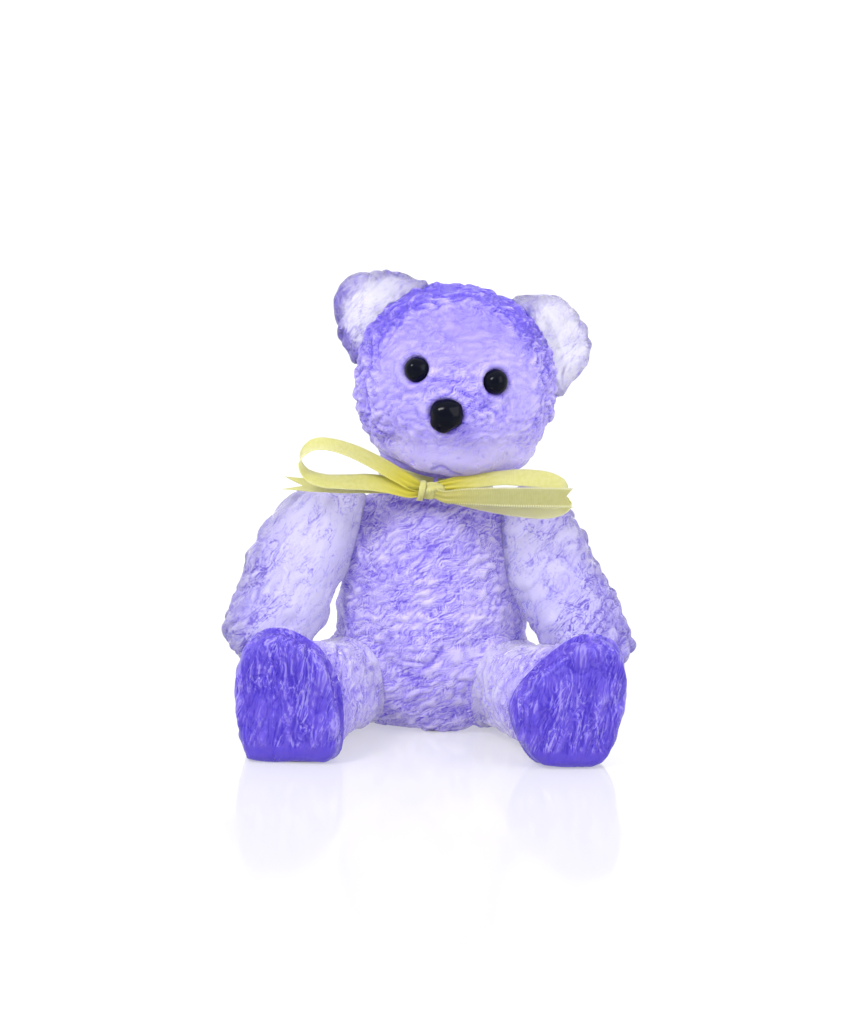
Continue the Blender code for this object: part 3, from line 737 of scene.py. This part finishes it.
def ribbonMaterial(name, look):
    # woven satin: fine ribs across, a corded edge with a row of small loops, cloudy dye, painted shade in the
    # gather by the knot, and painted light on the lower strand of the right loop
    material = bpy.data.materials.new(name)
    material.use_nodes = True
    tree = material.node_tree
    shader = tree.nodes["Principled BSDF"]
    place = addNode(tree, "ShaderNodeUVMap", (-1500, 0))
    split = addNode(tree, "ShaderNodeSeparateXYZ", (-1300, 0))
    tree.links.new(place.outputs["UV"], split.inputs[0])
    across, along = split.outputs["X"], split.outputs["Y"]
    rib = mathNode(tree, (-1100, 200), "MULTIPLY", along, 2 * math.pi * look["ribs"])
    rib = mathNode(tree, (-900, 200), "SINE", rib)
    warp = mathNode(tree, (-1100, 50), "MULTIPLY", across, 2 * math.pi * weave["warps"])
    warp = mathNode(tree, (-900, 50), "SINE", warp)
    fromMiddle = mathNode(tree, (-1100, -100), "SUBTRACT", across, 0.5)
    fromMiddle = mathNode(tree, (-1000, -100), "ABSOLUTE", fromMiddle)
    fromEdge = mathNode(tree, (-900, -100), "SUBTRACT", 0.5, fromMiddle)
    edge = spread(tree, (-700, -100), fromEdge, look["edge"] + 0.02, look["edge"])
    rungs = spread(tree, (-800, 350), rib, -0.2, 0.4)
    ladder = mathNode(tree, (-700, 350), "MULTIPLY", edge, rungs)
    cloud = addNode(tree, "ShaderNodeTexNoise", (-900, -350))
    cloud.inputs["Scale"].default_value = 5.0
    cloud.inputs["Detail"].default_value = 3.0
    tree.links.new(place.outputs["UV"], cloud.inputs["Vector"])
    dye = spread(tree, (-700, -350), cloud.outputs["Fac"], 0.3, 0.7, 0.0, 0.6)
    ribbed = spread(tree, (-700, 200), rib, -1.0, 1.0)
    ribbed = mathNode(tree, (-600, 100), "MULTIPLY", ribbed, look["ribTint"])
    fold = mathNode(tree, (-500, -200), "ADD", dye, ribbed, clamp=True)
    tint = mixColour(tree, (-300, 200), fold, look["light"], look["dark"])
    ladder = mathNode(tree, (-300, 400), "MULTIPLY", ladder, look["ladder"])
    tint = mixColour(tree, (-100, 200), ladder, tint, look["edgeTint"])
    gather = addNode(tree, "ShaderNodeAttribute", (-300, 600), attribute_name="gather").outputs["Fac"]
    gather = mathNode(tree, (-100, 600), "MULTIPLY", gather, look["gather"])
    tint = mixColour(tree, (100, 300), gather, tint, weave["gatherShadeTint"])
    paintedLitStrand = addNode(tree, "ShaderNodeAttribute", (100, 600), attribute_name="paintedLitStrand").outputs["Fac"]
    tint = mixColour(tree, (300, 300), paintedLitStrand, tint, weave["paintedLightTint"])
    tree.links.new(tint, shader.inputs["Base Color"])
    height = mathNode(tree, (-700, -500), "MULTIPLY", rib, 0.6)
    height = mathNode(tree, (-500, -500), "ADD", height, mathNode(tree, (-700, -650), "MULTIPLY", warp, 0.4))
    height = mathNode(tree, (-300, -500), "ADD", height, mathNode(tree, (-500, -650), "MULTIPLY", edge, 2.0))
    bump = addNode(tree, "ShaderNodeBump", (-100, -400))
    bump.inputs["Strength"].default_value = 0.3
    bump.inputs["Distance"].default_value = weave["relief"] * mm
    tree.links.new(height, bump.inputs["Height"])
    tree.links.new(bump.outputs["Normal"], shader.inputs["Normal"])
    rough = spread(tree, (-100, -100), cloud.outputs["Fac"], 0.3, 0.7, 0.3, 0.45)
    tree.links.new(rough, shader.inputs["Roughness"])
    shader.inputs["IOR"].default_value = 1.2
    shader.inputs["Transmission Weight"].default_value = look["clear"]
    shader.inputs["Subsurface Weight"].default_value = 1.0
    shader.inputs["Subsurface Radius"].default_value = (1.0, 1.0, 0.6)
    shader.inputs["Subsurface Scale"].default_value = 0.0015
    shader.inputs["Sheen Weight"].default_value = 0.25
    shader.inputs["Sheen Roughness"].default_value = 0.4
    shader.inputs["Coat Weight"].default_value = 0.35
    shader.inputs["Coat Roughness"].default_value = 0.28
    return material


satin = ribbonMaterial("yellowSatin", {
    "light": (0.57, 0.56, 0.235, 1), "dark": (0.48, 0.455, 0.12, 1), "edgeTint": (0.66, 0.66, 0.35, 1),
    "gather": 0.9, "ribs": 14.0, "ribTint": 0.15, "edge": 0.05, "ladder": 0.4, "clear": 0.25})
ladderSatin = ribbonMaterial("ladderSatin", {
    "light": (0.38, 0.375, 0.175, 1), "dark": (0.31, 0.30, 0.12, 1), "edgeTint": (0.78, 0.77, 0.50, 1),
    "gather": 0.35, "ribs": 10.0, "ribTint": 0.4, "edge": 0.09, "ladder": 0.8, "clear": 0.3})

layRibbon("ribbon_loop_left", "bowLoop_left", satin)
layRibbon("ribbon_loop_right", "bowLoop_right", satin)
layRibbon("ribbon_tail_left", "bowTail_left", satin)
layRibbon("ribbon_tail_right", "bowTail_right", ladderSatin)

neckBand = {
    "centre": (1.2, -1.0, 66.0), "height": 4.5, "radius": 14.72, "length": 92,
    "tilt": 6.0, "gap": 2.2,  # degrees
}
band = ribbonGrid("neckBand", 10, 180)
bandMiddle = Vector(neckBand["centre"]) + rawShift
for loop in band.data.loops:
    spot = band.data.vertices[loop.vertex_index].co
    around = (spot.y + 0.5) * neckBand["length"] / ribbon["width"]
    band.data.uv_layers[0].data[loop.index].uv = (spot.x + 0.5, around)
for vertex in band.data.vertices:
    side, around = vertex.co.x * 2, vertex.co.y + 0.5
    turn = math.radians(-90 + neckBand["gap"] + (360 - 2 * neckBand["gap"]) * around)
    pinch = ease(abs(math.sin((turn + math.pi / 2) / 2)), 0.02, 0.4)
    high = side * neckBand["height"] / 2 * (0.55 + 0.43 * pinch)
    radius = neckBand["radius"] + 0.05 * math.sin(side * 6)
    x, y = radius * math.cos(turn), radius * math.sin(turn)
    z = high - x * math.tan(math.radians(neckBand["tilt"]))
    vertex.co = (bandMiddle + Vector((x, y, z))) * mm
thicken(band)
settle(band, "ribbon_neck_band", satin)

knot = {
    "centre": (0.2, -20.3, 64.6), "bulge": (3.3, 1.7, 2.1),
    "wrapAside": -2.6, "wrap": (0.75, 2.1, 2.45), "wrapTube": 0.25,
}
knotMiddle = Vector(knot["centre"]) + rawShift
bpy.ops.object.select_all(action="DESELECT")
bpy.ops.mesh.primitive_uv_sphere_add(segments=64, ring_count=40, radius=1)
bulge = bpy.context.object
bulge.name = "knotBulge"
wide, deep, high = knot["bulge"]
for vertex in bulge.data.vertices:
    x, y, z = vertex.co
    along = z  # sphere's pole axis lies along the bow
    turn = math.atan2(y, x)
    flat = math.sqrt(max(0.0, 1 - along * along))
    full = flat ** 0.6
    ridge = 1 + 0.09 * math.sin(5 * turn + along * 3.0) * full
    place = Vector((along * wide, math.cos(turn) * full * deep * ridge, math.sin(turn) * full * high * ridge))
    vertex.co = (knotMiddle + place) * mm
settle(bulge, "ribbon_knot", satin)

bpy.ops.object.select_all(action="DESELECT")
bpy.ops.mesh.primitive_torus_add(
    major_radius=1, minor_radius=knot["wrapTube"], major_segments=56, minor_segments=16)
wrap = bpy.context.object
wrap.name = "knotWrap"
wide, deep, high = knot["wrap"]
for vertex in wrap.data.vertices:
    x, y, z = vertex.co
    turn, out = math.atan2(y, x), math.hypot(x, y) - 1
    reach = 1 + out * 0.3
    x = knot["wrapAside"] + z / knot["wrapTube"] * wide * (1 + 0.1 * math.sin(turn * 3))
    x += 0.45 * math.sin(turn)
    place = Vector((x, math.cos(turn) * reach * deep, math.sin(turn) * reach * high))
    vertex.co = (knotMiddle + place) * mm
settle(wrap, "ribbon_knot", satin)
print("ribbon tied")


# floor and light: a white floor, an even white world and two soft lamps

studio = {
    "floor": 0.32, "floorGlow": 0.42, "floorRough": 0.1, "floorShine": 1.8,
    "front": 0.8, "rear": 1.12, "overhead": 0.2, "aim": (0, 0, 0.06),
}
bpy.ops.object.select_all(action="DESELECT")
bpy.ops.mesh.primitive_plane_add(size=8.0, location=(0, 0, 0))
floor = bpy.context.object
floor.name = "studioFloor"
white = bpy.data.materials.new("studioWhite")
white.use_nodes = True
shader = white.node_tree.nodes["Principled BSDF"]
shader.inputs["Base Color"].default_value = (studio["floor"], studio["floor"], studio["floor"], 1)
shader.inputs["Emission Color"].default_value = (1, 1, 1, 1)
shader.inputs["Emission Strength"].default_value = studio["floorGlow"]
shader.inputs["Roughness"].default_value = studio["floorRough"]
shader.inputs["IOR"].default_value = studio["floorShine"]
floor.data.materials.append(white)

world = bpy.data.worlds.new("studio")
bpy.context.scene.world = world
world.use_nodes = True
tree = world.node_tree
sky = tree.nodes["Background"]
sky.inputs["Color"].default_value = (1, 1, 1, 1)
place = addNode(tree, "ShaderNodeTexCoord", (-900, 0))
split = addNode(tree, "ShaderNodeSeparateXYZ", (-700, 0))
tree.links.new(place.outputs["Generated"], split.inputs[0])
sweep = spread(tree, (-500, 0), split.outputs["Y"], -0.98, -0.7, studio["front"], studio["rear"])
top = spread(tree, (-500, -250), split.outputs["Z"], 0.1, 1.0, 0.0, studio["overhead"])
tree.links.new(mathNode(tree, (-250, 0), "ADD", sweep, top), sky.inputs["Strength"])

lights = {
    "key": {"at": (-0.4, -0.45, 0.6), "size": 0.2, "watts": 5.0},
    "fill": {"at": (0.5, -0.35, 0.35), "size": 0.5, "watts": 2.4},
}
for name, light in lights.items():
    bpy.ops.object.light_add(type="AREA", location=light["at"])
    lamp = bpy.context.object
    lamp.name = name + "Light"
    lamp.data.size = light["size"]
    lamp.data.energy = light["watts"]
    lamp.rotation_mode = "QUATERNION"
    lamp.rotation_quaternion = (Vector(studio["aim"]) - lamp.location).to_track_quat("-Z", "Y")
